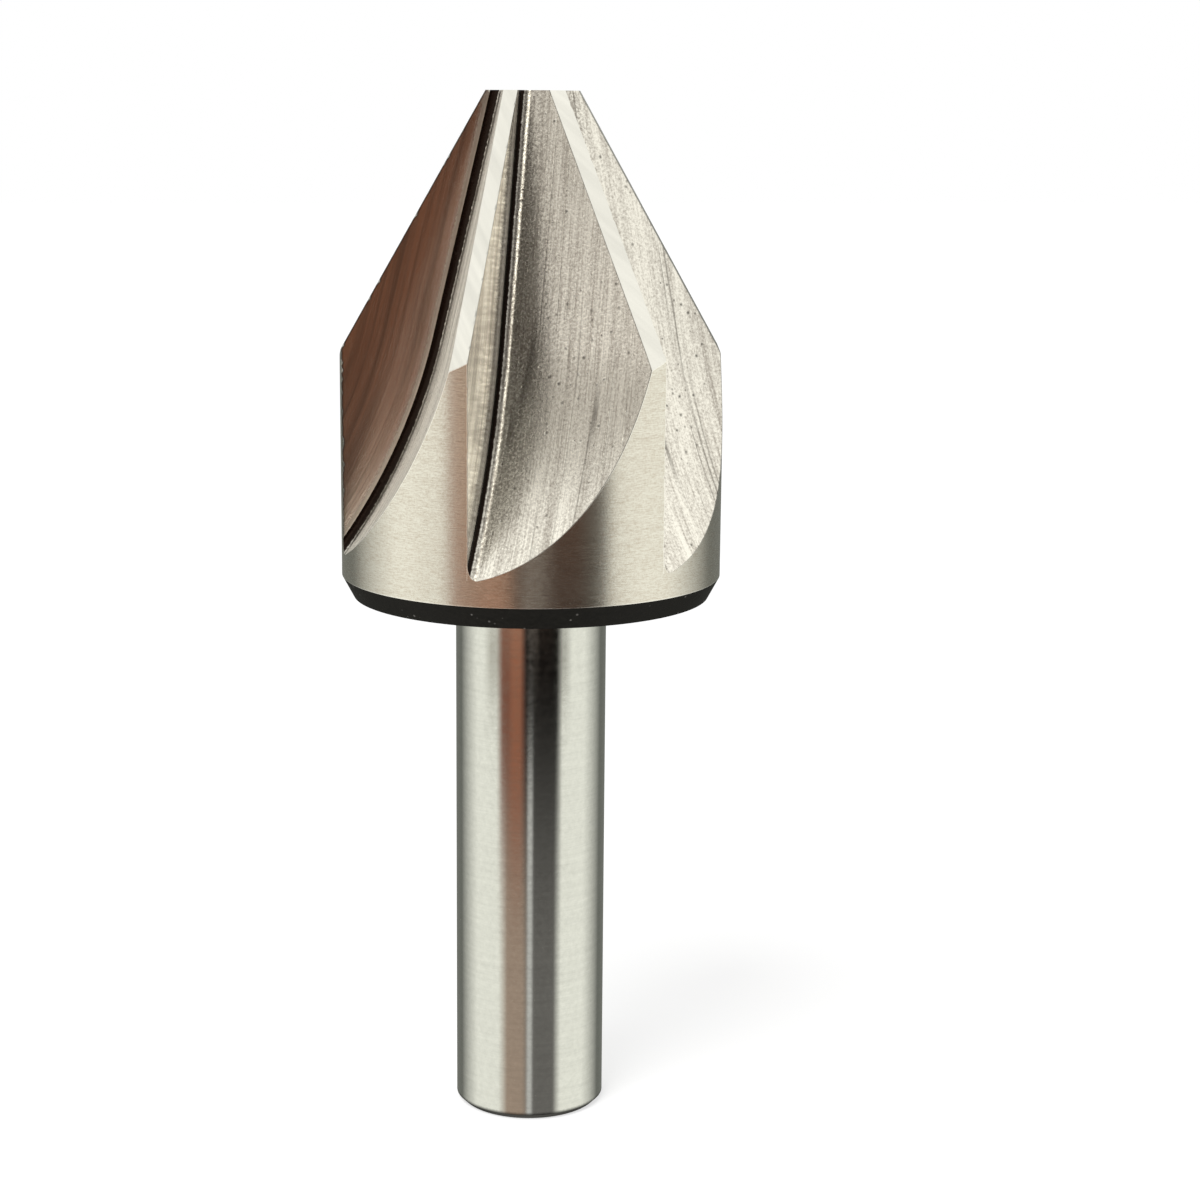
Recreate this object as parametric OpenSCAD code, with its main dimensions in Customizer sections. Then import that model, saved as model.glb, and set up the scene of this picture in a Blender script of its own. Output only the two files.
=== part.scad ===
// Chamfer end mill: one piece of high-speed steel with a round shank, a cylindrical
// head and a fluted point. It stands on the end of its shank with the point up.
// Lengths are in millimetres and angles in degrees.

/* [Head] */
// Diameter of the head over the cutting edges
head_d = 25; // [20:0.5:32]
// Included angle of the point
point_angle = 60; // [54:1:75]
// Diameter of the flat tip over the cutting edges
tip_d = 6.2; // [5.8:0.1:8]
// Length of the ground cylinder between the point and the back bevel
land_l = 15; // [12:0.5:25]
// Length along the axis of the unground bevel at the head's back
bevel_l = 1.4; // [0.5:0.1:2]
// Width across the radius of the same bevel
bevel_w = 0.75; // [0.3:0.05:1.5]

/* [Shank] */
// Diameter of the shank
shank_d = 10; // [8:0.5:12]
// Length of the shank from its end face to the head's back
shank_l = 35.3; // [25:0.5:60]
// Chamfer round the end of the shank
end_chamfer = 0.35; // [0.1:0.05:0.8]
// Radius of the fillet between the shank and the head's back
neck_r = 0.8; // [0.3:0.1:1.2]

/* [Flutes] */
// Number of flutes, each with one cutting edge
flutes = 6; // [5:1:7]
// Distance from the axis to the floor of a flute at the tip
root_r = 2.1; // [1.9:0.1:2.5]
// Angle between the axis and the straight part of the floor
floor_angle = 13.5; // [12:0.5:16]
// Length of plain head left behind the flutes
run_out = 2.9; // [2:0.1:6]
// Radius of the grinding wheel, which leaves the curve where the floor runs out
wheel_r = 38.5; // [30:0.5:60]
// Radius of the wheel's corner, left between cutting face and floor
root_fillet = 0.6; // [0.3:0.1:0.8]
// Slope of the floor up towards the back of the next tooth
floor_slope = 6; // [2:0.5:8]
// Relief angle ground behind the cutting edges of the point
relief_angle = 15; // [8:1:18]

/* [Centres] */
// Mouth diameter of the lathe centre in the tip
tip_centre_d = 2; // [1.5:0.1:2.5]
// Mouth diameter of the lathe centre in the shank's end
shank_centre_d = 3.2; // [2:0.1:4]

/* [Hidden] */
$fn = 96;

head_r = head_d / 2;
tip_r = tip_d / 2;
shank_r = shank_d / 2;
half_angle = point_angle / 2;
land_z = shank_l + bevel_l;
point_z = land_z + land_l;
tip_z = point_z + (head_r - tip_r) / tan(half_angle);
flute_pitch = 360 / flutes;
// How far a cutting tool reaches past the surface that it cuts
overshoot = 1;

// The wheel grinds each flute from its end position, straight along the floor and out past
// the tip. In its end position the rim leaves the head's cylinder just ahead of the plain
// stretch. These place the wheel by the run from the floor's tip to that point, measured
// along the floor and square to it.
flute_r = head_r - root_r;
flute_l = tip_z - (shank_l + run_out);
run_along = flute_r * sin(floor_angle) + flute_l * cos(floor_angle);
run_across = flute_r * cos(floor_angle) - flute_l * sin(floor_angle);
straight_l = run_along - sqrt(run_across * (2 * wheel_r - run_across));
wheel_x = root_r + straight_l * sin(floor_angle) + wheel_r * cos(floor_angle);
wheel_z = tip_z - straight_l * cos(floor_angle) + wheel_r * sin(floor_angle);

// The lathe centre has a 60 degree cone and a pilot half as wide as its mouth.
centre_half_angle = 30;
pilot_share = 0.5;

// Outline of the blank on one side of the axis, from the shank's end to the tip
module blank_outline() {
    polygon([
        [0, 0],
        [shank_r - end_chamfer, 0],
        [shank_r, end_chamfer],
        [shank_r, shank_l],
        [head_r - bevel_w, shank_l],
        [head_r, land_z],
        [head_r, point_z],
        [tip_r, tip_z],
        [0, tip_z]
    ]);
    difference() {
        translate([shank_r, shank_l - neck_r]) square(neck_r);
        translate([shank_r + neck_r, shank_l - neck_r]) circle(neck_r);
    }
}

// Half of the grinding wheel's section, with its axis along y and its flat side at y = 0.
// The rim tapers by the floor's slope and meets the flat side in a rounded corner.
module wheel_section() {
    wheel_w = head_r + overshoot;
    corner_x = wheel_r - root_fillet * (tan(floor_slope) + 1 / cos(floor_slope));
    polygon([
        [0, 0],
        [corner_x, 0],
        [corner_x + root_fillet * cos(floor_slope), root_fillet * (1 + sin(floor_slope))],
        [wheel_r - wheel_w * tan(floor_slope), wheel_w],
        [0, wheel_w]
    ]);
    translate([corner_x, root_fillet]) circle(root_fillet);
}

// Steel taken out for one flute: the wheel in its end position and its straight path past
// the tip. The cutting face lies in the plane y = 0.
module flute_cut() {
    translate([wheel_x, 0, wheel_z]) rotate([0, -floor_angle, 0]) {
        rotate([-90, 0, 0]) rotate_extrude($fn = 360) wheel_section();
        linear_extrude(straight_l + overshoot) mirror([1, 0]) wheel_section();
    }
}

// Steel ground off behind one cutting edge of the point: all that stands above a plane
// which holds the edge and falls away behind it by the relief angle
module relief_cut() {
    edge_l = (tip_z - point_z) / cos(half_angle);
    depth = head_r * sin(relief_angle) + overshoot;
    translate([head_r, 0, point_z]) rotate([0, -half_angle, 0]) rotate([0, 0, -relief_angle])
        translate([0, -head_r, -head_r]) cube([depth, 2 * head_r, edge_l + 2 * head_r]);
}

// Lathe centre with its mouth in the plane z = 0, opening towards -z
module centre_hole(mouth_d) {
    pilot_r = mouth_d * pilot_share / 2;
    cone_l = (mouth_d / 2 - pilot_r) / tan(centre_half_angle);
    past_mouth = overshoot * tan(centre_half_angle);
    translate([0, 0, -overshoot])
        cylinder(h = cone_l + overshoot, r1 = mouth_d / 2 + past_mouth, r2 = pilot_r);
    cylinder(h = cone_l + 2 * pilot_r, r = pilot_r);
}

module end_mill() {
    color("silver") difference() {
        rotate_extrude() blank_outline();
        for (i = [0 : flutes - 1]) {
            rotate(i * flute_pitch) {
                flute_cut();
                relief_cut();
            }
        }
        centre_hole(shank_centre_d);
        translate([0, 0, tip_z]) mirror([0, 0, 1]) centre_hole(tip_centre_d);
    }
}

end_mill();
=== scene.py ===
# The looks of one chamfer end mill: a single bar of high-speed steel, turned, hardened and
# then ground bright. Sizes are in millimetres until the skin is welded, which is in metres.
import math

import bpy
import numpy as np
from mathutils import Matrix, Vector
from mathutils.geometry import tessellate_polygon


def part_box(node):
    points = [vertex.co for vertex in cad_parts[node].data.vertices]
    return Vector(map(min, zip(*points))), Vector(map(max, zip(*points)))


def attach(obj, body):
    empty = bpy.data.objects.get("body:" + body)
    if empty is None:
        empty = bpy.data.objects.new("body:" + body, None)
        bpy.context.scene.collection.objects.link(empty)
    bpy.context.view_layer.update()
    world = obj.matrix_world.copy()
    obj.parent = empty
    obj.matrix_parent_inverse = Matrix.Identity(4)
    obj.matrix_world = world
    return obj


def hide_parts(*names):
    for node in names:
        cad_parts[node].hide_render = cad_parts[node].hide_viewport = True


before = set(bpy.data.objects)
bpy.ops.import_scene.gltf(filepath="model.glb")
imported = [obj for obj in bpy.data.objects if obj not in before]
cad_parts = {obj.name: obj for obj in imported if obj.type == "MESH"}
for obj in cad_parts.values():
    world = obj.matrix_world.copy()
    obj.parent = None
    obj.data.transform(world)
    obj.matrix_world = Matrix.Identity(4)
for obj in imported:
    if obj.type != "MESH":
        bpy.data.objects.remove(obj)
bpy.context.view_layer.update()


# The shank: a plain round bar that the machine's collet grips, ground on centres after
# hardening, so its marks run round it. Its end is faced off, chamfered and centre drilled.
# The tool's skin is laid patch by patch from here on, and welded into one mesh at the end.
MM = 0.001
box_low, box_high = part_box("end_mill")
head_r = (box_high.x - box_low.x) / 2 / MM
tip_z = box_high.z / MM
shank_r = 5.0
shank_l = 35.3
end_chamfer = 0.35
neck_r = 0.8
neck_rows = 9
shank_centre_r = 1.6
centre_half_angle = math.radians(30)
teeth = 6
steps_per_tooth = 24
ring_angles = np.linspace(0, math.tau, teeth * steps_per_tooth + 1)
# In a long turned band, the distance of the first and last row from its ends
end_row = 0.4
# Stands in the rim values for a spot that no edge or root is near
far = 9.0
patches = []


def unit(vectors):
    return vectors / np.linalg.norm(vectors, axis=-1, keepdims=True)


def field(x, y, z):
    """Three numbers for each spot of a grid, as one array."""
    return np.stack(np.broadcast_arrays(x, y, z), axis=-1).astype(float)


def lay(finish, points, normals, grind, rim):
    """Keeps one grid of skin. grind holds mm along the marks, mm across them and a seed.
    rim holds mm from the nearest edge, and the distance from a flute's root in widths of
    its strip of painted shade and in widths of its dark line of painted shade."""
    corners = []
    for part in (points, normals, grind, rim):
        grid = np.broadcast_to(part, points.shape)
        around = (grid[:-1, :-1], grid[:-1, 1:], grid[1:, 1:], grid[1:, :-1])
        corners.append(np.stack(around, axis=2).reshape(-1, 4, 3))
    spots, facing = corners[:2]
    winding = np.cross(spots[:, 2] - spots[:, 0], spots[:, 3] - spots[:, 1])
    if np.sum(winding * facing[:, 0]) < 0:
        corners = [part[:, ::-1] for part in corners]
    patches.append((finish, corners))


def turned(finish, profile, seed=0.0, smooth=False):
    """Lays turned bands between (radius, height) pairs, which run up the outside of the
    steel and down the inside of a hole. A long band has a row near each of its ends."""
    knots = [np.array(profile[0], float)]
    for knot in np.array(profile[1:], float):
        step = knot - knots[-1]
        if np.linalg.norm(step) > 1:
            near = end_row * step / np.linalg.norm(step)
            knots += [knots[-1] + near, knot - near]
        knots.append(knot)
    profile = np.array(knots)
    steps = np.diff(profile, axis=0)
    facing = unit(np.stack([steps[:, 1], -steps[:, 0]], axis=1))
    length = np.concatenate([[0], np.cumsum(np.linalg.norm(steps, axis=1))])
    gap = np.minimum(length, length[-1] - length)
    angle, row = np.meshgrid(ring_angles, [0, 1])
    cos, sin = np.cos(angle), np.sin(angle)
    for k in range(len(steps)):
        ends = profile[[k, k + 1]]
        way = facing[[k, k]]
        if smooth:
            way = unit(way + facing[[max(k - 1, 0), min(k + 1, len(steps) - 1)]])
        radius, height = ends[row, 0], ends[row, 1]
        lay(
            finish,
            field(radius * cos, radius * sin, height),
            field(way[row, 0] * cos, way[row, 0] * sin, way[row, 1]),
            field(angle * ends[:, 0].max(), length[[k, k + 1]][row], seed),
            field(gap[[k, k + 1]][row], far, far),
        )


def centre_profile(mouth_r, mouth_z, inward):
    """A lathe centre: a 60 degree cone, then a pilot half as wide with a flat end."""
    pilot_r = mouth_r / 2
    cone_z = mouth_z + inward * (mouth_r - pilot_r) / math.tan(centre_half_angle)
    end_z = cone_z + inward * 2 * pilot_r
    profile = [(mouth_r, mouth_z), (pilot_r, cone_z), (pilot_r, end_z), (0.0, end_z)]
    return profile if inward < 0 else profile[::-1]


turned("turned_end", centre_profile(shank_centre_r, 0.0, 1), seed=1.0)
turned("turned_end", [(shank_centre_r, 0.0), (shank_r - end_chamfer, 0.0)], seed=2.0)
turned("shank_chamfer", [(shank_r - end_chamfer, 0.0), (shank_r, end_chamfer)], seed=3.0)
turned("shank", [(shank_r, end_chamfer), (shank_r, shank_l - neck_r)], seed=4.0)
neck = [
    (shank_r + neck_r * (1 - math.cos(swing)), shank_l - neck_r * (1 - math.sin(swing)))
    for swing in np.linspace(0, math.pi / 2, neck_rows)
]
turned("shank", neck, seed=5.0, smooth=True)


def add(tree, kind, feeds=None, **settings):
    """Adds a shader node. feeds gives its inputs by name or number, as values or sockets."""
    made = tree.nodes.new("ShaderNode" + kind)
    for name, value in settings.items():
        setattr(made, name, value)
    for key, value in (feeds or {}).items():
        if isinstance(value, bpy.types.NodeSocket):
            tree.links.new(value, made.inputs[key])
        else:
            made.inputs[key].default_value = value
    return made


def math_node(tree, operation, *values, clamp=False):
    made = add(tree, "Math", dict(enumerate(values)), operation=operation, use_clamp=clamp)
    return made.outputs[0]


def ramp(tree, value, slope, start):
    """value times slope plus start, held between 0 and 1."""
    return math_node(tree, "MULTIPLY_ADD", value, slope, start, clamp=True)


def noise(tree, vector, detail=2.0, rough=0.5):
    feeds = {"Vector": vector, "Scale": 1.0, "Detail": detail, "Roughness": rough}
    return add(tree, "TexNoise", feeds).outputs[0]


def centred(tree, value):
    return math_node(tree, "SUBTRACT", value, 0.5)


def scaled(tree, vector, scale):
    return add(tree, "VectorMath", {0: vector, "Scale": scale}, operation="SCALE").outputs[0]


def on_tool(tree, cells_per_m):
    """The place on the tool, counted in cells."""
    return scaled(tree, add(tree, "TexCoord").outputs["Object"], cells_per_m)


def skin_values(tree, name):
    """The three numbers that the tool's skin holds under a name at each spot."""
    held = add(tree, "Attribute", attribute_name=name).outputs["Vector"]
    return add(tree, "SeparateXYZ", {0: held}).outputs


def mix(tree, share, start, end):
    """A colour on the way from start to end, which are three numbers or a socket."""
    ends = [tone if isinstance(tone, bpy.types.NodeSocket) else (*tone, 1) for tone in (start, end)]
    return add(tree, "Mix", {0: share, 6: ends[0], 7: ends[1]}, data_type="RGBA").outputs[2]


def new_group(name, inputs, outputs):
    """A shader group with named number inputs, given with their usual values."""
    tree = bpy.data.node_groups.new(name, "ShaderNodeTree")
    kind = "NodeSocketFloat"
    for label, value in inputs.items():
        tree.interface.new_socket(label, in_out="INPUT", socket_type=kind).default_value = value
    for label in outputs:
        tree.interface.new_socket(label, in_out="OUTPUT", socket_type=kind)
    return tree, tree.nodes.new("NodeGroupInput").outputs, tree.nodes.new("NodeGroupOutput").inputs


def use(tree, group, feeds=None):
    return add(tree, "Group", feeds, node_tree=group).outputs


def marks_group():
    """Grinding marks: fine lines, broader bands and a few deep scores that run along the
    tool's grind values."""
    inputs = {"Length": 1.5, "Spacing": 0.05, "Band Share": 0.5}
    tree, given, out = new_group("grinding marks", inputs, ["Height", "Line", "Band", "Score"])
    # How many bands and scores there are to each fine line, and scores to each mm across
    bands_along, bands_across = 0.22, 0.16
    scores_along, scores_per_mm = 0.06, 0.9
    score_sharpness = 42.0
    # Scores start to show on bands over 0.425 and are whole from 0.55.
    scored_bands = (8.0, -3.4)
    spot = skin_values(tree, "grind")
    fine_along = math_node(tree, "DIVIDE", spot[0], given["Length"])
    fine_across = math_node(tree, "DIVIDE", spot[1], given["Spacing"])

    def streaks(along, across, detail, rough=0.5):
        at = add(tree, "CombineXYZ", {0: along, 1: across, 2: spot[2]}).outputs[0]
        return noise(tree, at, detail, rough)

    fine = streaks(fine_along, fine_across, 3.0, 0.7)
    band_along = math_node(tree, "MULTIPLY", fine_along, bands_along)
    band = streaks(band_along, math_node(tree, "MULTIPLY", fine_across, bands_across), 2.0, 0.6)
    share = math_node(tree, "MULTIPLY", band, given["Band Share"])
    tree.links.new(math_node(tree, "ADD", fine, share), out["Height"])
    tree.links.new(centred(tree, fine), out["Line"])
    tree.links.new(centred(tree, band), out["Band"])
    # A score is the thin seam where its noise passes one half.
    score_along = math_node(tree, "MULTIPLY", fine_along, scores_along)
    seam = streaks(score_along, math_node(tree, "MULTIPLY", spot[1], scores_per_mm), 0.0)
    off_seam = math_node(tree, "ABSOLUTE", centred(tree, seam))
    score = ramp(tree, off_seam, -score_sharpness, 1.0)
    here = ramp(tree, band, *scored_bands)
    tree.links.new(math_node(tree, "MULTIPLY", score, here), out["Score"])
    return tree


def cloud_group():
    """Cloudy unevenness in the metal's surface, with no direction."""
    tree, given, out = new_group("surface clouds", {"Size": 1.0, "Seed": 0.0}, ["Tone"])
    at = on_tool(tree, math_node(tree, "DIVIDE", 1.0 / MM, given["Size"]))
    seed = add(tree, "CombineXYZ", {0: given["Seed"], 1: given["Seed"]}).outputs[0]
    at = add(tree, "VectorMath", {0: at, 1: seed}, operation="ADD").outputs[0]
    tree.links.new(noise(tree, at, 3.0, 0.6), out["Tone"])
    return tree


def edge_band_group():
    """A ragged mask along the sharp edges, as wide as Width, for a band painted there: painted
    shade at the shank's ends, painted highlights along the head's edges, and dark bands along
    the cutting edges and heels.
    """
    tree, given, out = new_group("edge band", {"Width": 0.1, "Ragged": 0.5}, ["Mask"])
    rags_per_mm = 6.0
    gap = skin_values(tree, "rim")[0]
    rough = centred(tree, noise(tree, on_tool(tree, rags_per_mm / MM), 2.0, 0.6))
    rough = math_node(tree, "MULTIPLY_ADD", rough, given["Ragged"], 1.0)
    share = math_node(tree, "DIVIDE", gap, math_node(tree, "MULTIPLY", rough, given["Width"]))
    tree.links.new(math_node(tree, "SUBTRACT", 1.0, share, clamp=True), out["Mask"])
    return tree


def root_group():
    """The painted shade at the root of a flute: Strip fades out to where the rim's second
    number is 1, and the ragged dark Line ends where its third is 1."""
    tree, given, out = new_group("flute root", {"Ragged": 0.5}, ["Strip", "Line"])
    rags_per_mm, strip_ragged = 5.0, 0.5
    line_sharpness, strip_sharpness = 5.0, 1.6
    rim = skin_values(tree, "rim")
    rough = centred(tree, noise(tree, on_tool(tree, rags_per_mm / MM), 3.0, 0.6))
    gap = math_node(tree, "MULTIPLY_ADD", rough, given["Ragged"], rim[2])
    left = math_node(tree, "SUBTRACT", 1.0, gap)
    tree.links.new(ramp(tree, left, line_sharpness, 0.5), out["Line"])
    share = math_node(tree, "MULTIPLY_ADD", rough, strip_ragged, rim[1])
    fade = math_node(tree, "SUBTRACT", 1.0, share)
    tree.links.new(ramp(tree, fade, strip_sharpness, 0.0), out["Strip"])
    return tree


def pit_group():
    """Small round pits in loose clusters. Size is in mm, and about Share of the cells of
    that size hold one."""
    tree, given, out = new_group("pits", {"Size": 0.3, "Share": 0.1}, ["Mask"])
    clusters_per_cell, cluster_contrast, cluster_gap = 0.13, 7.0, 2.9
    # Radii in cells
    smallest_pit, pit_spread = 0.14, 0.2
    at = on_tool(tree, math_node(tree, "DIVIDE", 1.0 / MM, given["Size"]))
    cells = add(tree, "TexVoronoi", {"Vector": at, "Scale": 1.0})
    kind = add(tree, "SeparateXYZ", {0: cells.outputs["Color"]}).outputs
    cluster = noise(tree, scaled(tree, at, clusters_per_cell))
    cluster = math_node(tree, "MULTIPLY_ADD", cluster, cluster_contrast, -cluster_gap)
    share = math_node(tree, "MULTIPLY", cluster, given["Share"])
    chosen = math_node(tree, "LESS_THAN", kind[0], share)
    reach = math_node(tree, "MULTIPLY_ADD", kind[1], pit_spread, smallest_pit)
    depth = math_node(tree, "DIVIDE", cells.outputs["Distance"], reach)
    hollow = math_node(tree, "SUBTRACT", 1.0, depth, clamp=True)
    tree.links.new(math_node(tree, "MULTIPLY", hollow, chosen), out["Mask"])
    return tree


grinding_marks = marks_group()
surface_clouds = cloud_group()
edge_band = edge_band_group()
flute_root = root_group()
pits = pit_group()
finishes = {}


def new_finish(name):
    """A material for the tool's skin: its node tree and its shader's inputs."""
    made = bpy.data.materials.new(name)
    made.use_nodes = True
    finishes[name] = made
    return made.node_tree, made.node_tree.nodes["Principled BSDF"].inputs


def dress(tree, shader, colour, roughness, height):
    """Feeds a shader its colour, its roughness and its height in mm."""
    bump = add(tree, "Bump", {"Height": height, "Distance": MM, "Strength": 1.0})
    tree.links.new(colour, shader["Base Color"])
    tree.links.new(roughness, shader["Roughness"])
    tree.links.new(bump.outputs[0], shader["Normal"])


score_colour = (0.1, 0.09, 0.08)
# The grainy strip of painted shade beside a flute's root
root_shade_colour = (0.1, 0.08, 0.07)
pit_colour = (0.04, 0.035, 0.03)
# The dark line of painted shade in a flute's root
root_shade_line_colour = (0.015, 0.01, 0.008)
edge_ragged, root_ragged = 0.8, 0.7
pit_depth = 0.015
pit_rough, edge_rough = 0.1, 0.1
# Depth of a deep score, in depths of the fine lines
score_depth = 2.0
# How far the mottling stands towards dark where nothing moves it, and the share of a steel's
# colour that is its dark if none is given
mottle_start, dark_share = 0.35, 0.72
# Slopes and starts of two ramps: the grain of the painted shade by a flute's root, from the
# clouds, and the glancing view from how far a surface faces away
root_shade_grain = (4.0, 0.55)
glancing = (8.0, -6.3)


def steel(
    name,
    colour,
    roughness,
    marks,
    depth,
    band_rough=0.1,
    cloud=(1.0, 0.0),
    cloud_rough=0.0,
    dark=None,
    mottle=(0.0, 1.2, 0.0),
    edge_paint=(0.08, 0.0),
    edge_paint_colour=(0.03, 0.03, 0.03),
    pitting=(0.3, 0.0),
    root=(0.0, 0.0),
    grazing=0.0,
    scores=0.0,
):
    """Bare steel. marks is (length, spacing, band share) in mm, depth is in mm, cloud is
    (size, depth) in mm, mottle is how much lines, bands and clouds turn colour to dark, the
    next two are the (width, strength) and the colour of a band painted along the edges,
    pitting is (size, share), root is how much the strip along a flute's root is (darkened
    with painted shade, roughened), grazing is the roughness added where it's seen edge on,
    and scores is how dark the deep scores are."""
    tree, shader = new_finish(name)
    shader["Metallic"].default_value = 1.0
    line = use(tree, grinding_marks, dict(zip(("Length", "Spacing", "Band Share"), marks)))
    tone = use(tree, surface_clouds, {"Size": cloud[0]})["Tone"]
    edge_painted = use(tree, edge_band, {"Width": edge_paint[0], "Ragged": edge_ragged})["Mask"]
    by_root = use(tree, flute_root, {"Ragged": root_ragged})
    pit = use(tree, pits, {"Size": pitting[0], "Share": pitting[1]})["Mask"]
    even = centred(tree, tone)
    edge_on = ramp(tree, add(tree, "LayerWeight").outputs["Facing"], *glancing)
    rough = roughness
    for amount, strength in (
        (line["Band"], band_rough),
        (even, cloud_rough),
        (pit, pit_rough),
        (edge_painted, edge_rough),
        (by_root["Strip"], root[1]),
        (edge_on, grazing),
    ):
        rough = math_node(tree, "MULTIPLY_ADD", amount, strength, rough)
    shade = math_node(tree, "MULTIPLY_ADD", line["Band"], mottle[1], mottle_start)
    shade = math_node(tree, "MULTIPLY_ADD", line["Line"], mottle[0], shade)
    shade = math_node(tree, "MULTIPLY_ADD", even, mottle[2], shade, clamp=True)
    base = mix(tree, shade, colour, dark or tuple(dark_share * c for c in colour))
    # Tints: scores, a grainy strip of painted shade by a flute's root, the band painted along the
    # edges, pits, and the root's dark line of painted shade
    root_shade = math_node(tree, "MULTIPLY", ramp(tree, even, *root_shade_grain), by_root["Strip"])
    for mask, tint in (
        (math_node(tree, "MULTIPLY", line["Score"], scores), score_colour),
        (math_node(tree, "MULTIPLY", root_shade, root[0]), root_shade_colour),
        (math_node(tree, "MULTIPLY", edge_painted, edge_paint[1]), edge_paint_colour),
        (pit, pit_colour),
        (by_root["Line"], root_shade_line_colour),
    ):
        base = mix(tree, mask, base, tint)
    height = math_node(tree, "MULTIPLY", line["Height"], depth)
    height = math_node(tree, "MULTIPLY_ADD", tone, cloud[1], height)
    height = math_node(tree, "MULTIPLY_ADD", pit, -pit_depth, height)
    carved = score_depth * depth * scores
    height = math_node(tree, "MULTIPLY_ADD", line["Score"], -carved, height)
    dress(tree, shader, base, rough, height)


steel(
    "shank",
    colour=(0.66, 0.67, 0.63),
    roughness=0.1,
    marks=(2.0, 0.07, 0.15),
    depth=0.00008,
    band_rough=0.04,
    cloud=(0.35, 0.0012),
    cloud_rough=0.1,
    mottle=(0.5, 0.6, 0.8),
    # A band of painted shade at the shank's foot on the table and under the head
    edge_paint=(0.2, 0.95),
)
steel(
    "shank_chamfer",
    colour=(0.03, 0.028, 0.026),
    roughness=0.35,
    marks=(2.0, 0.05, 0.5),
    depth=0.001,
)
steel(
    "turned_end",
    colour=(0.55, 0.54, 0.52),
    roughness=0.3,
    marks=(4.0, 0.12, 0.6),
    depth=0.004,
)


# The head's back: a bevel and a flat shoulder that are left as they came from hardening,
# under a thin black scale. Only the neck's small fillet is ground with the shank.
bevel_l, bevel_w = 1.4, 0.75
land_z = shank_l + bevel_l
turned("scale", [(shank_r + neck_r, shank_l), (head_r - bevel_w, shank_l)], seed=6.0)
turned("scale", [(head_r - bevel_w, shank_l), (head_r, land_z)], seed=7.0)


def black_scale():
    """Dull black scale, cloudy and a little lumpy, with pale specks where it has chipped."""
    darkest, palest, speck = (0.0015, 0.0013, 0.001), (0.011, 0.01, 0.008), (0.16, 0.15, 0.14)
    lump_height, mark_depth = 0.03, 0.004
    least_rough, rough_spread = 0.3, 0.3
    tree, shader = new_finish("scale")
    shader["Specular IOR Level"].default_value = 0.07
    tone = use(tree, surface_clouds, {"Size": 0.35, "Seed": 3.0})["Tone"]
    pit = use(tree, pits, {"Size": 0.35, "Share": 0.12})["Mask"]
    line = use(tree, grinding_marks, {"Length": 2.0, "Spacing": 0.12, "Band Share": 0.5})
    rough = math_node(tree, "MULTIPLY_ADD", tone, rough_spread, least_rough)
    base = mix(tree, pit, mix(tree, tone, darkest, palest), speck)
    height = math_node(tree, "MULTIPLY", line["Height"], mark_depth)
    height = math_node(tree, "MULTIPLY_ADD", tone, lump_height, height)
    dress(tree, shader, base, rough, height)


black_scale()


# The six flutes: a wheel as wide as the head ground each one, from where its rim leaves the
# head's cylinder at the back straight up past the tip. Its flat side left the cutting
# face, its tapered rim the floor, and its worn corner the round between them.
pitch = math.tau / teeth
land_l = 15.0
point_z = land_z + land_l
half_angle = math.radians(30)
root_r = 2.1
floor_angle = math.radians(13.5)
run_out = 2.9
wheel_r = 38.5
corner_r = 0.6
floor_slope = math.radians(6)
relief = math.radians(15)
flute_r, flute_l = head_r - root_r, tip_z - (shank_l + run_out)
run_along = flute_r * math.sin(floor_angle) + flute_l * math.cos(floor_angle)
run_across = flute_r * math.cos(floor_angle) - flute_l * math.sin(floor_angle)
straight_l = run_along - math.sqrt(run_across * (2 * wheel_r - run_across))
wheel_x = root_r + straight_l * math.sin(floor_angle) + wheel_r * math.cos(floor_angle)
wheel_z = tip_z - straight_l * math.cos(floor_angle) + wheel_r * math.sin(floor_angle)
flat_r = wheel_r - corner_r * (math.tan(floor_slope) + 1 / math.cos(floor_slope))
# Wider than any flute, in steps of 0.0025 mm
flute_stretch = np.linspace(0, 11.5, 4601)


def spin(vectors, angle):
    cos, sin = math.cos(angle), math.sin(angle)
    return vectors @ np.array([[cos, sin, 0], [-sin, cos, 0], [0, 0, 1]])


def rim_radius(t):
    """Radius of the wheel's rim t mm from its flat side."""
    rounded = flat_r + np.sqrt(np.maximum(corner_r**2 - (corner_r - t) ** 2, 0))
    sloped = wheel_r - t * math.tan(floor_slope)
    return np.where(t < corner_r * (1 + math.sin(floor_slope)), rounded, sloped)


def floor_sine(z, t):
    """Sine of the floor's lean in from upright: it grows down the arc where it runs out."""
    return np.maximum((wheel_z - z) / rim_radius(t), math.sin(floor_angle))


def straight_run(z, t):
    """Height of a place on the floor above the end of the arc."""
    return np.maximum(z - wheel_z + rim_radius(t) * math.sin(floor_angle), 0)


def floor_x(z, t):
    """Distance of the floor from the axis, in the plane of the cutting face."""
    arc = wheel_x - rim_radius(t) * np.sqrt(1 - floor_sine(z, t) ** 2)
    return arc - straight_run(z, t) * math.tan(floor_angle)


def edge_radius(z):
    return np.minimum(head_r, head_r - (z - point_z) * math.tan(half_angle))


def land_radius(z, behind):
    """Radius of the steel at an angle behind a cutting edge: cylinder, or relief if less."""
    reach = math.cos(half_angle) * head_r + math.sin(half_angle) * (point_z - z)
    tilt = math.cos(half_angle) * math.cos(relief) * np.cos(behind)
    facet = math.cos(relief) * reach / (tilt + math.sin(relief) * np.sin(behind))
    return np.minimum(head_r, facet)


def crease_drop(behind):
    """How far below the point's base the relief meets the cylinder behind an edge."""
    lift = math.cos(half_angle) * (np.cos(behind) - 1) + math.tan(relief) * np.sin(behind)
    return head_r * lift / math.sin(half_angle)


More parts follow.
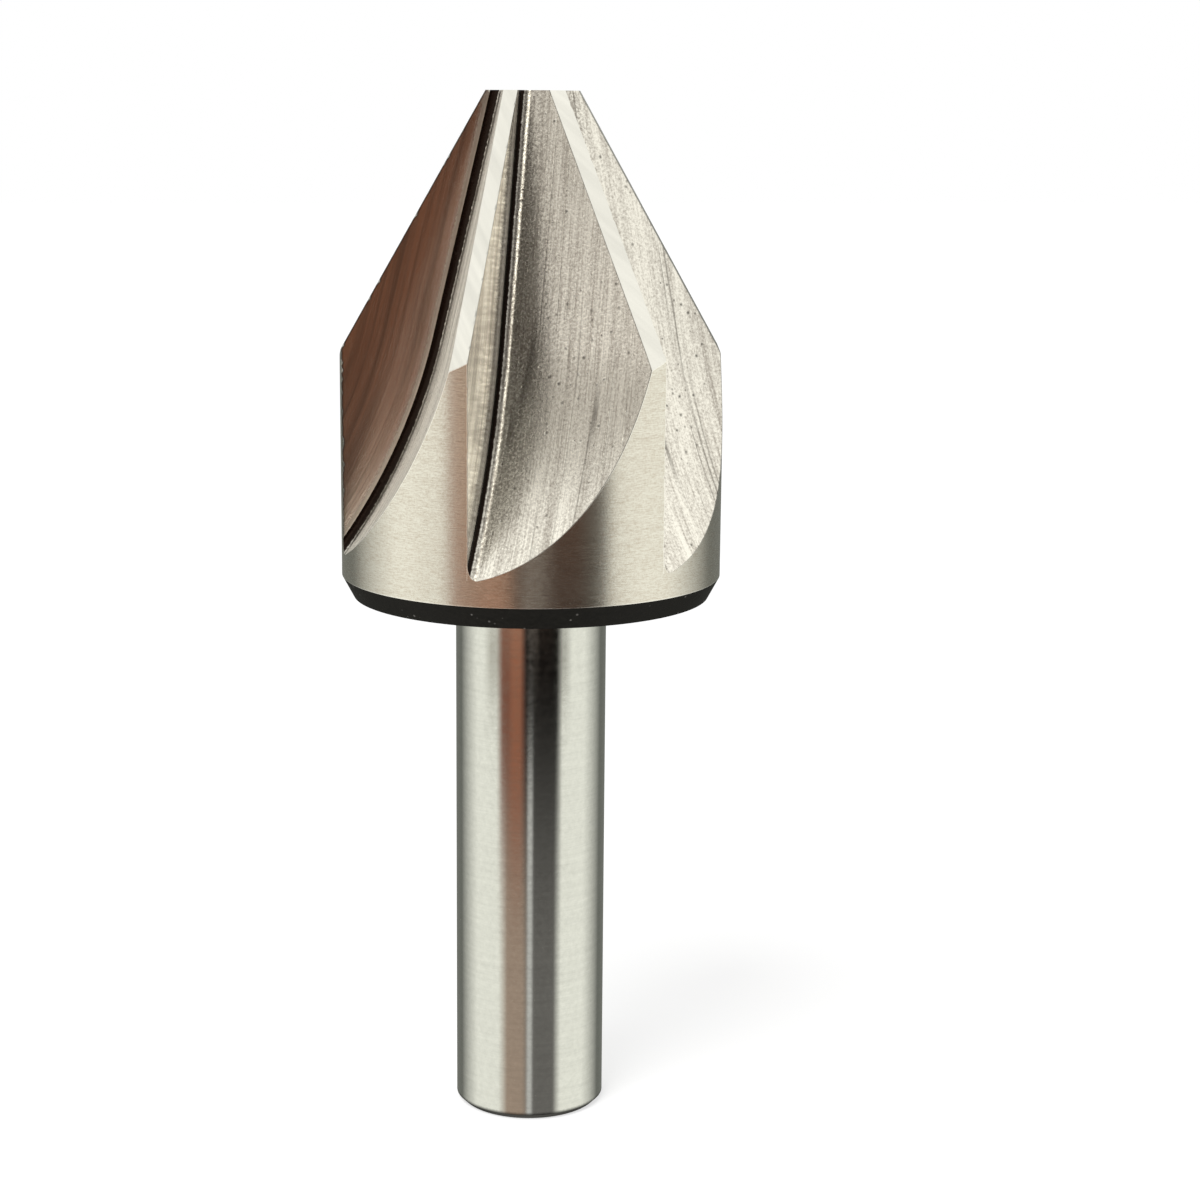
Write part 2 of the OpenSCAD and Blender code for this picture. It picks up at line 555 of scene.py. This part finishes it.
def flute_span(z):
    """The stretch from the cutting face over which the flute is open at height z."""
    t = flute_stretch
    x = floor_x(z, t)
    proud = np.hypot(x, t) - land_radius(z, pitch - np.arctan2(t, x))
    open_at = np.flatnonzero(proud < 0)
    if len(open_at) == 0:
        return None
    first, last = open_at[0], open_at[-1]
    step = t[1]
    end = t[last] + step * proud[last] / (proud[last] - proud[last + 1])
    if first == 0:
        return 0.0, end
    return t[first] - step * proud[first] / (proud[first] - proud[first - 1]), end


# The height at which a flute opens, found by halving the stretch of 1 mm that it lies in
closed_z, nose_z = shank_l + run_out - 0.5, shank_l + run_out + 0.5
halvings = 30
for halving in range(halvings):
    middle = (closed_z + nose_z) / 2
    if flute_span(middle) is None:
        closed_z = middle
    else:
        nose_z = middle
face_z = wheel_z - math.sqrt(flat_r**2 - (wheel_x - head_r) ** 2)

row_step = 0.12
nose_row_count, nose_crowding = 22, 1.7
nose_shares = np.linspace(0, 1, nose_row_count) ** nose_crowding
nose_rows = nose_z + (face_z - nose_z) * nose_shares
mid_rows = np.linspace(face_z, point_z, round((point_z - face_z) / row_step) + 1)
point_rows = np.linspace(point_z, tip_z, round((tip_z - point_z) / row_step) + 1)
rows = np.concatenate([nose_rows, mid_rows[1:], point_rows[1:]])
face_row = len(nose_rows) - 1
crease_row = face_row + len(mid_rows) - 1
face_columns, corner_columns, floor_columns, land_columns = 6, 7, 16, 18

# Near the point's base the rows dip towards the back of the next tooth, as the relief's
# lower edge does there. Each pass finds the dip again from where the last one put it.
dip_reach = 2.6
dip_passes = 8
closeness = np.clip(1 - np.abs(rows - point_z) / dip_reach, 0, 1)
heel_z = rows
for dip_pass in range(dip_passes + 1):
    spans = np.array([flute_span(z) for z in heel_z])
    open_t, heel_t = spans[:, :1], spans[:, 1:]
    heel_angle = np.arctan2(spans[:, 1], floor_x(heel_z, spans[:, 1]))
    if dip_pass < dip_passes:
        heel_z = rows - closeness * crease_drop(pitch - heel_angle)

# Small burrs and chips: how far each cutting edge falls short of its line, row by row.
bites_per_edge, shallowest_bite, deepest_bite = 26, 0.02, 0.1
bite_shape = np.array([0.5, 1, 0.4])
least_wear, wear_wander = 0.01, 0.012
random = np.random.default_rng(5)
chips = np.zeros((teeth, len(rows)))
for tooth in range(teeth):
    wander = np.convolve(random.normal(0, 1, len(rows)), [0.25, 0.5, 0.25], mode="same")
    chips[tooth] = least_wear + wear_wander * np.abs(wander)
    for bite in random.integers(face_row + 4, len(rows) - 3, bites_per_edge):
        bite_depth = random.uniform(shallowest_bite, deepest_bite)
        chips[tooth, bite - 1 : bite + 2] += bite_depth * bite_shape
chips[:, : face_row + 1] = 0

# The floor of a flute, with the round at its root as its first columns
column_row = rows[:, None]
swing = np.linspace(-math.pi / 2, floor_slope, corner_columns + 1)
corner_t = corner_r * (1 + np.sin(swing))
floor_t = corner_t[-1] + (heel_t - corner_t[-1]) * np.linspace(0, 1, floor_columns + 1)[1:]
corner_t = np.broadcast_to(corner_t, (len(rows), corner_columns + 1))
t = np.clip(np.concatenate([corner_t, floor_t], axis=1), open_t, heel_t)
run = np.clip((t - corner_t[:, -1:]) / np.maximum(heel_t - corner_t[:, -1:], 0.001), 0, 1)
z = column_row + (heel_z - rows)[:, None] * run
x = floor_x(z, t)
x[: face_row + 1, 0] = np.sqrt(head_r**2 - t[: face_row + 1, 0] ** 2)
floor_points = field(x, t, z)
lean = np.clip(t / corner_r - 1, -1, math.sin(floor_slope))
upright, sine = np.sqrt(1 - lean**2), floor_sine(z, t)
floor_normals = field(upright * np.sqrt(1 - sine**2), -lean, upright * sine)
floor_along = np.arcsin(sine) * wheel_r - straight_run(z, t) / math.cos(floor_angle)
heel_gap = np.where(run > 0, heel_t - t, far)


def side_marks(x, z):
    """Places on a cutting face as mm along the marks of the wheel's side and across them."""
    out = (wheel_x - x) * math.cos(floor_angle) + (wheel_z - z) * math.sin(floor_angle)
    on = (wheel_x - x) * math.sin(floor_angle) - (wheel_z - z) * math.cos(floor_angle)
    on_arc = np.minimum(on, 0)
    return np.arctan2(on_arc, out) * wheel_r + np.maximum(on, 0), np.hypot(out, on_arc)


# Painted shade darkens the root of each flute: a dark line of a width of its own, and a
# grainy strip of the floor beside it, which is widest below the point and narrow at the
# run-out. The strip also dulls the foot of the cutting face, in roughness only.
line_widths = [0.22, 0.26, 0.18, 0.31, 0.19, 0.24]
strip_at_tip, strip_growth, widest_strip = 2.2, 0.12, 4.2
narrowing_l, narrowest_share = 10, 0.2
strip_width = np.minimum(strip_at_tip + strip_growth * (tip_z - z), widest_strip)
strip_width = strip_width * np.clip((z - land_z) / narrowing_l, narrowest_share, 1)
face_strip_start, face_strip_width = 0.1, 0.6
seed_step = 3.7
tip_outline = []
for tooth in range(teeth):
    turn, seed = tooth * pitch, seed_step * tooth
    edge_r = (edge_radius(rows) - chips[tooth])[:, None]
    radius = edge_r + (x[:, :1] - edge_r) * np.linspace(0, 1, face_columns + 1)
    face_points = field(radius, 0, column_row)[face_row:]
    face_points[0, :, 0] = head_r
    along, across = side_marks(face_points[..., 0], face_points[..., 2])
    off_root = face_strip_start + (radius - x[:, :1])[face_row:] / face_strip_width
    lay(
        "cutting_face",
        spin(face_points, turn),
        spin(np.array([0.0, 1.0, 0.0]), turn),
        field(along, across, seed),
        field((edge_r - radius)[face_row:], off_root, far),
    )
    lay(
        "flute",
        spin(floor_points, turn),
        spin(floor_normals, turn),
        field(floor_along, t, seed),
        field(heel_gap, t / strip_width, t / line_widths[tooth]),
    )
    tip_outline.append([spin(face_points[-1, :-1], turn), spin(floor_points[-1, :-1], turn)])

steel(
    "cutting_face",
    colour=(0.84, 0.815, 0.765),
    roughness=0.16,
    marks=(8.0, 0.11, 0.6),
    depth=0.0035,
    band_rough=0.1,
    dark=(0.52, 0.485, 0.44),
    mottle=(1.6, 3.5, 0.0),
    # A dark band painted along the cutting edge
    edge_paint=(0.13, 0.9),
    root=(0.0, 0.17),
)
steel(
    "flute",
    colour=(0.8, 0.775, 0.725),
    roughness=0.25,
    marks=(4.0, 0.1, 0.6),
    depth=0.005,
    cloud=(0.16, 0.012),
    cloud_rough=0.15,
    dark=(0.36, 0.33, 0.3),
    mottle=(1.7, 1.4, 2.2),
    # A dark band painted along the heel
    edge_paint=(0.08, 0.8),
    pitting=(0.5, 0.42),
    # Painted shade in the flute's root, and a little roughness there
    root=(0.48, 0.03),
    grazing=0.45,
    scores=0.6,
)


# The head's lands: what the flutes leave of the ground cylinder, and on the point a flat
# relief behind each cutting edge, ground last of all and the brightest part of the tool.
share = np.linspace(0, 1, land_columns + 1)
theta = heel_angle[:, None] + (pitch - heel_angle)[:, None] * share
behind = pitch - theta
drop = crease_drop(behind)
land_heights = column_row - closeness[:, None] * drop
facet = np.array(
    [
        math.cos(relief) * math.cos(half_angle),
        -math.sin(relief),
        math.cos(relief) * math.sin(half_angle),
    ]
)
# The relief's marks run over it at a slant, whose cosine and sine these are.
slant_cos, slant_sin = 0.8, 0.6
low, high = slice(0, crease_row + 1), slice(crease_row, None)
for tooth in range(teeth):
    turn, seed = tooth * pitch, seed_step * tooth
    radius = land_radius(land_heights, behind)
    radius[:, -1] = edge_radius(rows) - chips[(tooth + 1) % teeth]
    land_points = field(radius * np.cos(theta), radius * np.sin(theta), land_heights)
    land_points[:, 0] = floor_points[:, -1]
    gap = np.minimum(behind, theta - heel_angle[:, None]) * radius
    below = np.maximum(np.minimum(gap, point_z - drop - land_heights), 0)
    lay(
        "head",
        spin(land_points, turn)[low],
        spin(field(np.cos(theta), np.sin(theta), 0), turn)[low],
        field(head_r * (theta + turn), land_heights, 0)[low],
        field(below, far, far)[low],
    )
    rise, back = (land_heights - point_z) / math.cos(half_angle), behind * radius
    along = rise * slant_cos + back * slant_sin
    across = back * slant_cos - rise * slant_sin
    lay(
        "land",
        spin(land_points, turn)[high],
        spin(facet, turn + pitch),
        field(along, across, seed)[high],
        field(gap, far, far)[high],
    )
    # The narrow strip of cylinder in front of a flute's nose, below the cutting face
    strip = (np.arcsin(open_t / head_r) * np.linspace(0, 1, face_columns + 1))[: face_row + 1]
    strip_z = column_row[: face_row + 1]
    strip_out = field(np.cos(strip), np.sin(strip), 0)
    lay(
        "head",
        spin(strip_out * head_r + field(0, 0, strip_z), turn),
        spin(strip_out, turn),
        field(head_r * (strip + turn), strip_z, 0),
        field(head_r * (strip[:, -1:] - strip), far, far),
    )
    tip_outline[tooth].append(spin(land_points[-1, :-1], turn))

# The plain ring below the flutes, from the bevel up to their noses
nose_ring = np.concatenate([strip[0, :-1], theta[0, :-1]])
nose_ring = np.concatenate([nose_ring + k * pitch for k in range(teeth)] + [[math.tau]])
skirt_rows = 9
skirt = np.linspace(0, 1, skirt_rows)[:, None]
angle = ring_angles + (nose_ring - ring_angles) * skirt
height = land_z + (nose_z - land_z) * skirt
lay(
    "head",
    field(head_r * np.cos(angle), head_r * np.sin(angle), height),
    field(np.cos(angle), np.sin(angle), 0),
    field(head_r * angle, height, 0),
    field(height - land_z, far, far),
)
steel(
    "head",
    colour=(0.69, 0.675, 0.61),
    roughness=0.2,
    marks=(0.6, 0.07, 0.08),
    depth=0.0014,
    cloud=(0.14, 0.003),
    cloud_rough=0.1,
    dark=(0.52, 0.47, 0.4),
    mottle=(3.0, 0.8, 1.5),
    # A pale band painted along the head's edges: painted highlights on its lower rim and by the
    # flutes
    edge_paint=(0.07, 0.8),
    edge_paint_colour=(0.95, 0.94, 0.9),
)
steel(
    "land",
    colour=(0.74, 0.73, 0.7),
    roughness=0.2,
    marks=(3.0, 0.16, 0.5),
    depth=0.006,
)


# The tip: faced off flat, with the lathe centre that the tool was ground on.
# Its face is one flat patch between the ends of the flutes and the mouth of the centre.
tip_centre_r = 1.0
tip_seed = 9
turned("turned_end", centre_profile(tip_centre_r, tip_z, -1), seed=8.0)
outline = np.concatenate([part for tooth in tip_outline for part in tooth])
mouth = field(tip_centre_r * np.cos(ring_angles), tip_centre_r * np.sin(ring_angles), tip_z)
loops = [[Vector(spot) for spot in outline], [Vector(spot) for spot in mouth[:-1]]]
spots = np.concatenate([outline, mouth[:-1]])
triangles = np.array(tessellate_polygon(loops))
corners = spots[triangles]
flipped = np.cross(corners[:, 1] - corners[:, 0], corners[:, 2] - corners[:, 0])[:, 2] < 0
corners[flipped] = corners[flipped][:, ::-1]
corners = np.concatenate([corners, corners[:, :1]], axis=1)
mean_tip_r, tip_edge_gap = 2, 0.5
round_axis = np.arctan2(corners[..., 1], corners[..., 0]) * mean_tip_r
swirl = field(round_axis, np.hypot(corners[..., 0], corners[..., 1]), tip_seed)
up = np.broadcast_to([0.0, 0.0, 1.0], corners.shape)
tip_rim = np.broadcast_to([tip_edge_gap, far, far], corners.shape)
patches.append(("turned_end", [corners, up, swirl, tip_rim]))


# The finished tool: the patches are welded at shared corners into one closed skin, in
# metres, which keeps each patch's own normals, so that every ground edge stays crisp.
def weld():
    """Joins corners that fall in one cell of a fine grid. The grid is moved off the round
    numbers, where many corners lie, so that none of them sits between two cells."""
    cell, shift = 0.00137, 0.123
    stacks = [np.concatenate([part[1][k] for part in patches]) for k in range(4)]
    points, normals, grind, rim = (stack.reshape(-1, 3) for stack in stacks)
    kinds = list(finishes)
    finish = np.concatenate([[kinds.index(name)] * len(part[0]) for name, part in patches])
    keys = np.round(points / cell + shift).astype(np.int64)
    unique, first, index = np.unique(keys, axis=0, return_index=True, return_inverse=True)
    faces, kept, face_finish = [], [], []
    for number, ring in enumerate(index.reshape(-1, 4).tolist()):
        picks = [k for k in range(4) if ring[k] != ring[k - 1]]
        if len({ring[k] for k in picks}) > 2:
            faces.append([ring[k] for k in picks])
            kept.extend(number * 4 + k for k in picks)
            face_finish.append(finish[number])
    mesh = bpy.data.meshes.new("end_mill_steel")
    mesh.from_pydata((points[first] * MM).tolist(), [], faces)
    mesh.shade_smooth()
    for name, values in (("grind", grind), ("rim", rim)):
        held = mesh.attributes.new(name, "FLOAT_VECTOR", "CORNER")
        held.data.foreach_set("vector", values[kept].astype(np.float32).ravel())
    for name in kinds:
        mesh.materials.append(finishes[name])
    mesh.polygons.foreach_set("material_index", np.array(face_finish, np.int32))
    mesh.normals_split_custom_set(unit(normals[kept]).tolist())
    return mesh


end_mill = bpy.data.objects.new("end_mill_steel", weld())
bpy.context.scene.collection.objects.link(end_mill)
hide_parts("end_mill")
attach(end_mill, "root")


# The table: a plain pale sheet that the tool stands on, white as far as the camera sees.
# It keeps the tool's soft shadow.
table_half = 1.5
table_corners = [(-1, -1), (1, -1), (1, 1), (-1, 1)]
table_mesh = bpy.data.meshes.new("table")
table_mesh.from_pydata(
    [(sx * table_half, sy * table_half, 0) for sx, sy in table_corners], [], [(0, 1, 2, 3)]
)
table = bpy.data.objects.new("table", table_mesh)
bpy.context.scene.collection.objects.link(table)
table.visible_glossy = False


def table_paper():
    """Pale matt paper. To the camera it glows white, the more so away from the tool."""
    made = bpy.data.materials.new("table_paper")
    made.use_nodes = True
    tree = made.node_tree
    tree.nodes.clear()
    # Share of the glow at the tool's foot, and what it gains with each metre away
    glow_at_foot, glow_gain = 0.6, 3.0
    matt = add(tree, "BsdfDiffuse", {"Color": (0.86, 0.86, 0.85, 1)})
    glow = add(tree, "Emission", {"Color": (1, 1, 1, 1), "Strength": 1.05})
    place = add(tree, "TexCoord").outputs["Object"]
    away = add(tree, "VectorMath", {0: place}, operation="LENGTH").outputs["Value"]
    seen = add(tree, "LightPath").outputs["Is Camera Ray"]
    share = math_node(tree, "MULTIPLY", seen, ramp(tree, away, glow_gain, glow_at_foot))
    both = add(tree, "MixShader", {0: share, 1: matt.outputs[0], 2: glow.outputs[0]})
    add(tree, "OutputMaterial", {"Surface": both.outputs[0]})
    return made


table_mesh.materials.append(table_paper())


# The light: an even white room, one large soft lamp for the shadow, and what bare steel
# mirrors of the room: dark and warm patches in front, paler greys elsewhere. The camera
# and the patches are turned together, by how far the tool was turned for the photograph.
photo_turn = -11.65
world = bpy.data.worlds.new("room")
bpy.context.scene.world = world
world.use_nodes = True
world.cycles.sampling_method = "NONE"


def patch_group():
    """A soft-edged patch of the room, by compass heading and height in degrees."""
    inputs = {"Heading": 0, "Height": 0, "From": 0, "To": 0, "Low": 0, "High": 0}
    inputs.update({"Side Blur": 1, "Height Blur": 1})
    tree, given, out = new_group("room patch", inputs, ["Mask"])
    sides = []
    for value, low, high, blur in (
        ("Heading", "From", "To", "Side Blur"),
        ("Height", "Low", "High", "Height Blur"),
    ):
        rise = math_node(tree, "SUBTRACT", given[value], given[low])
        fall = math_node(tree, "SUBTRACT", given[high], given[value])
        for side in (rise, fall):
            sharp = math_node(tree, "DIVIDE", side, given[blur])
            sides.append(math_node(tree, "ADD", sharp, 0.5, clamp=True))
    mask = sides[0]
    for side in sides[1:]:
        mask = math_node(tree, "MULTIPLY", mask, side)
    tree.links.new(mask, out["Mask"])
    return tree


# Each patch: headings from and to, heights low and high, blur of its sides and of its
# top and bottom, colour. Heading 0 is the way back to the camera, and grows to the right.
# A later patch covers the ones before it.
room_colour = (1.2, 1.19, 1.1)
diffuse_colour = (0.8, 0.8, 0.8)
room_patches = [
    (-180, 180, 30, 95, 1, 20, (1.3, 1.29, 1.2)),
    (-212, -112, -60, 25, 44, 20, (0.2, 0.205, 0.185)),
    (112, 212, -60, 12, 44, 20, (0.2, 0.205, 0.185)),
    (-66, -14, 8, 40, 14, 10, (0.54, 0.507, 0.45)),
    (-28, -8.8, 17, 62, 3, 5, (3.5, 3.45, 3.05)),
    (4, 36, 8, 50, 6, 8, (0.34, 0.33, 0.29)),
    (34, 60, 5, 28, 8, 8, (0.3, 0.28, 0.25)),
    (-4.5, 31, 3, 30, 5, 11, (0.03, 0.022, 0.02)),
    (-125, -34, 1, 16, 12, 5, (1.7, 1.66, 1.55)),
    (38, 72, 0, 15, 8, 5, (0.8, 0.78, 0.74)),
    (-70, -40, -13.3, -12, 14, 1.2, (0.3, 0.26, 0.2)),
    (38, 60, -13.3, -12, 12, 1.2, (0.16, 0.14, 0.11)),
    (-43, 6, -60, 3, 14, 4, (0.5, 0.38, 0.3)),
    (-49, 6, -16.8, 3, 11, 4, (0.26, 0.1, 0.065)),
    (-31, -13, -16.8, 3, 9, 4, (0.4, 0.15, 0.085)),
    (-47, 6, -11.5, 3, 10, 1.6, (0.6, 0.36, 0.25)),
    (-43, 6, -9, 3, 10, 2, (0.58, 0.5, 0.4)),
    (-34, 4, -5, 13, 8, 4, (0.34, 0.135, 0.075)),
    (-6, 43, -60, 2, 12, 4, (0.2, 0.19, 0.18)),
    (-11, 45, -16.6, 2, 10, 5.4, (0.003, 0.0027, 0.0025)),
    (-6, 43, -10.3, 2, 10, 2.4, (0.15, 0.125, 0.1)),
    (-5, 11, -11.3, -5, 5, 1.6, (0.34, 0.28, 0.24)),
    (11, 32, -9, 4, 6, 3, (0.145, 0.055, 0.027)),
    (-4.5, 3.5, -60, -15.3, 4, 1.4, (0.72, 0.71, 0.69)),
]


def room():
    """What rays find round the tool: mirrored ones the patches, the camera's own plain
    white, and all others an even pale grey."""
    tree = world.node_tree
    tree.nodes.clear()
    ray = add(tree, "TexCoord").outputs["Generated"]
    turn_back = {"Vector": ray, "Angle": math.radians(-photo_turn)}
    ray = add(tree, "VectorRotate", turn_back, rotation_type="Z_AXIS").outputs[0]
    spot = add(tree, "SeparateXYZ", {0: ray}).outputs
    ahead = math_node(tree, "MULTIPLY", spot[1], -1.0)
    heading = math_node(tree, "DEGREES", math_node(tree, "ARCTAN2", spot[0], ahead))
    height = math_node(tree, "DEGREES", math_node(tree, "ARCSINE", spot[2]))
    group = patch_group()
    labels = ("From", "To", "Low", "High", "Side Blur", "Height Blur")
    colour = room_colour
    for *limits, tone in room_patches:
        feeds = {"Heading": heading, "Height": height, **dict(zip(labels, limits))}
        colour = mix(tree, use(tree, group, feeds)["Mask"], colour, tone)
    path = add(tree, "LightPath").outputs
    colour = mix(tree, path["Is Glossy Ray"], diffuse_colour, colour)
    colour = mix(tree, path["Is Camera Ray"], colour, (1, 1, 1))
    back = add(tree, "Background", {"Color": colour, "Strength": 1.0})
    add(tree, "OutputWorld", {"Surface": back.outputs[0]})


room()
lamp_data = bpy.data.lights.new("soft_lamp", "AREA")
lamp_data.shape = "DISK"
lamp_data.size = 0.35
lamp_data.energy = 4.0
lamp = bpy.data.objects.new("soft_lamp", lamp_data)
lamp.location = (-0.25, -0.25, 0.55)
lamp.rotation_euler = Vector(lamp.location).to_track_quat("Z", "Y").to_euler()
lamp.visible_glossy = False
bpy.context.scene.collection.objects.link(lamp)
bpy.context.scene.view_settings.view_transform = "Standard"


# The camera: level with the tip and looking down at the shank, as the photograph was taken.
# Its place is in millimetres, and its focal length in the photograph's pixels.
camera_away, camera_up = 160.65, 67.19
look_down, look_aside, roll = math.radians(11.406), math.radians(1.634), math.radians(-0.531)
photo_focal = 2460.8
photo_width = 1200


def camera_axes():
    """The camera's right, up and back."""
    down_c, down_s = math.cos(look_down), math.sin(look_down)
    side_c, side_s = math.cos(look_aside), math.sin(look_aside)
    ahead = Vector((side_s * down_c, side_c * down_c, -down_s))
    right = Vector((side_c, -side_s, 0))
    up = Vector((side_s * down_s, side_c * down_s, down_c))
    tilted_right = right * math.cos(roll) - up * math.sin(roll)
    tilted_up = right * math.sin(roll) + up * math.cos(roll)
    return tilted_right, tilted_up, -ahead


camera_data = bpy.data.cameras.new("camera")
camera_data.sensor_width = 36.0
camera_data.lens = camera_data.sensor_width * photo_focal / photo_width
camera_data.clip_start = 0.01
camera = bpy.data.objects.new("camera", camera_data)
aim = Matrix.Identity(4)
for column, axis in enumerate(camera_axes()):
    for row in range(3):
        aim[row][column] = axis[row]
aim.translation = Vector((0, -camera_away * MM, camera_up * MM))
camera.matrix_world = Matrix.Rotation(math.radians(photo_turn), 4, "Z") @ aim
bpy.context.scene.collection.objects.link(camera)
bpy.context.scene.camera = camera
